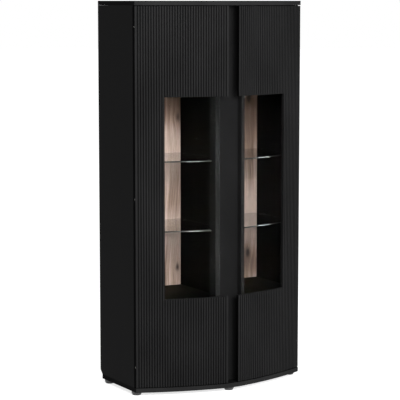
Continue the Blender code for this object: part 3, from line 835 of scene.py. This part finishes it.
def make_feet():
    """Moulded feet: a stepped body with a soft edge and a narrower glide under it."""
    for node in [n for n in NODES if n.startswith("foot_")]:
        low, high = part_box(node)
        radius = (high.x - low.x) / 2
        height = high.z - low.z
        glide = FOOT_GLIDE_SHARE * radius
        profile = [(0, 0), (glide - FOOT_GLIDE_CORNER, 0), (glide, FOOT_GLIDE_CORNER)]
        profile += [(glide + FOOT_GLIDE_FLARE, FOOT_GLIDE_HEIGHT)]
        for i in range(EDGE_STEPS + 1):
            turn = math.pi / 2 * i / EDGE_STEPS
            out = FOOT_EDGE_RADIUS * (1 - math.sin(turn))
            up = FOOT_EDGE_RADIUS * (1 - math.cos(turn))
            profile.append((radius - out, FOOT_GLIDE_HEIGHT + up))
        profile += [(radius, height - FOOT_TOP_CORNER), (radius - FOOT_TOP_CORNER, height), (0, height)]
        foot = turned(f"moulded_{node}", profile, FOOT_PLASTIC)
        foot.location = ((low.x + high.x) / 2, (low.y + high.y) / 2, low.z)
        finish_piece(foot, "carcass", "foot_plastic", node)


def make_back_nails():
    """Flat-headed nails along the edges of the back panels."""
    bm = bmesh.new()
    for node in ("back_panel_lower", "display_back_panel", "back_panel_upper"):
        low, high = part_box(node)
        width = high.x - low.x - 2 * NAIL_MARGIN
        height = high.z - low.z - 2 * NAIL_MARGIN
        rows = max(2, round((high.z - low.z) / NAIL_SPACING))
        columns = round((high.x - low.x) / NAIL_SPACING)
        places = []
        for i in range(rows + 1):
            z = low.z + NAIL_MARGIN + height * i / rows
            places += [(low.x + NAIL_MARGIN, z), (0.0, z), (high.x - NAIL_MARGIN, z)]
        for i in range(1, columns):
            x = low.x + NAIL_MARGIN + width * i / columns
            places += [(x, low.z + NAIL_MARGIN), (x, high.z - NAIL_MARGIN)]
        for x, z in places:
            turn = Matrix.Rotation(-math.pi / 2, 4, "X")
            bmesh.ops.create_cone(
                bm,
                cap_ends=True,
                segments=12,
                radius1=NAIL_RADIUS,
                radius2=0.7 * NAIL_RADIUS,
                depth=NAIL_HEAD,
                matrix=Matrix.Translation((x, high.y + NAIL_HEAD / 2, z)) @ turn,
            )
    nails = add_mesh("back_nails", bm, PIN_STEEL)
    smooth(nails)
    finish_piece(nails, "carcass", "pin_steel")


# ---------------------------------------------------------------- carried-over CAD nodes


# How the node names start, their material, and the rounding of their edges
CAD_FINISHES = (
    (("side_panel", "partition", "rear_rail", "display_floor", "display_ceiling"), PANEL_FOIL, EDGE_EASE),
    # The post walls and the post face board take lighter copies of the panel foil: painted light.
    (("post_wall",), WALL_PAINTED_LIGHT_FOIL, EDGE_EASE),
    (("post_face_board",), POST_PAINTED_LIGHT_FOIL, EDGE_EASE),
    (("base_board", "top_board"), BOARD_FOIL, EDGE_EASE),
    (("back_panel",), HARDBOARD, None),
    (("display_back_panel",), OAK, None),
    (("shelf_pin",), PIN_STEEL, METAL_EASE),
    (("hinge_arm", "hinge_pin"), HINGE_STEEL, METAL_EASE),
)


def dress_frame():
    """Gives every CAD node that stays its material and its eased edges."""
    for starts, material, rounding in CAD_FINISHES:
        for node in [n for n in NODES if n.startswith(starts)]:
            NODES[node].data.materials.clear()
            NODES[node].data.materials.append(material)
            if rounding:
                ease(NODES[node], rounding)


# ---------------------------------------------------------------- studio


LIGHT_DISTANCE = 5.0
FLOOR_RADIUS = 60.0

# Soft lights: azimuth (0 in front, + to the right), height, size and power
SOFTBOXES = {
    "key_softbox": (0.0, 2.7, (2.4, 2.0), 520.0),
    "left_softbox": (-23.0, 2.6, (2.0, 2.0), 195.0),
    "front_strip": (-1.0, 0.45, (0.55, 1.0), 50.0),
    "right_strip": (66.0, 0.45, (0.75, 1.0), 36.0),
}


def softbox(name, azimuth, height, size, power):
    """A soft rectangular light that faces the cabinet."""
    data = bpy.data.lights.new(name, "AREA")
    data.shape = "RECTANGLE"
    data.size, data.size_y = size
    data.energy = power
    light = bpy.data.objects.new(name, data)
    turn = math.radians(azimuth)
    place = Vector((LIGHT_DISTANCE * math.sin(turn), -LIGHT_DISTANCE * math.cos(turn), height))
    light.location = place
    aim = Vector((0, 0, (CAD_LOW.z + CAD_HIGH.z) / 2)) - place
    light.rotation_euler = aim.to_track_quat("-Z", "Y").to_euler()
    bpy.context.scene.collection.objects.link(light)


def make_studio():
    bm = bmesh.new()
    bmesh.ops.create_circle(bm, cap_ends=True, segments=96, radius=FLOOR_RADIUS)
    floor = add_mesh("floor", bm, studio_floor())
    world = bpy.data.worlds.new("studio")
    world.use_nodes = True
    background = world.node_tree.nodes["Background"]
    background.inputs["Color"].default_value = (1.0, 1.0, 1.0, 1.0)
    background.inputs["Strength"].default_value = 1.0
    bpy.context.scene.world = world
    for name, values in SOFTBOXES.items():
        softbox(name, *values)
    bpy.context.scene.view_settings.view_transform = "Standard"


CAMERA_PLACE = (-4.197, -7.148, 1.945)
CAMERA_PITCH = 6.907  # degrees below the horizon
CAMERA_YAW = 30.18  # degrees to the right of +Y
CAMERA_LENS = 147.3


def make_camera():
    data = bpy.data.cameras.new("camera")
    data.lens = CAMERA_LENS
    data.clip_end = 200.0
    camera = bpy.data.objects.new("camera", data)
    camera.location = CAMERA_PLACE
    camera.rotation_euler = (math.radians(90 - CAMERA_PITCH), 0, math.radians(-CAMERA_YAW))
    bpy.context.scene.collection.objects.link(camera)
    bpy.context.scene.camera = camera


# ---------------------------------------------------------------- the cabinet

for word, sign in SIDES:
    make_door_front(word, sign)
    make_pane(word, sign)
    for tier in ("lower", "upper"):
        make_shelf(word, sign, tier)
make_hinges()
make_feet()
make_back_nails()
dress_frame()
make_studio()
make_camera()
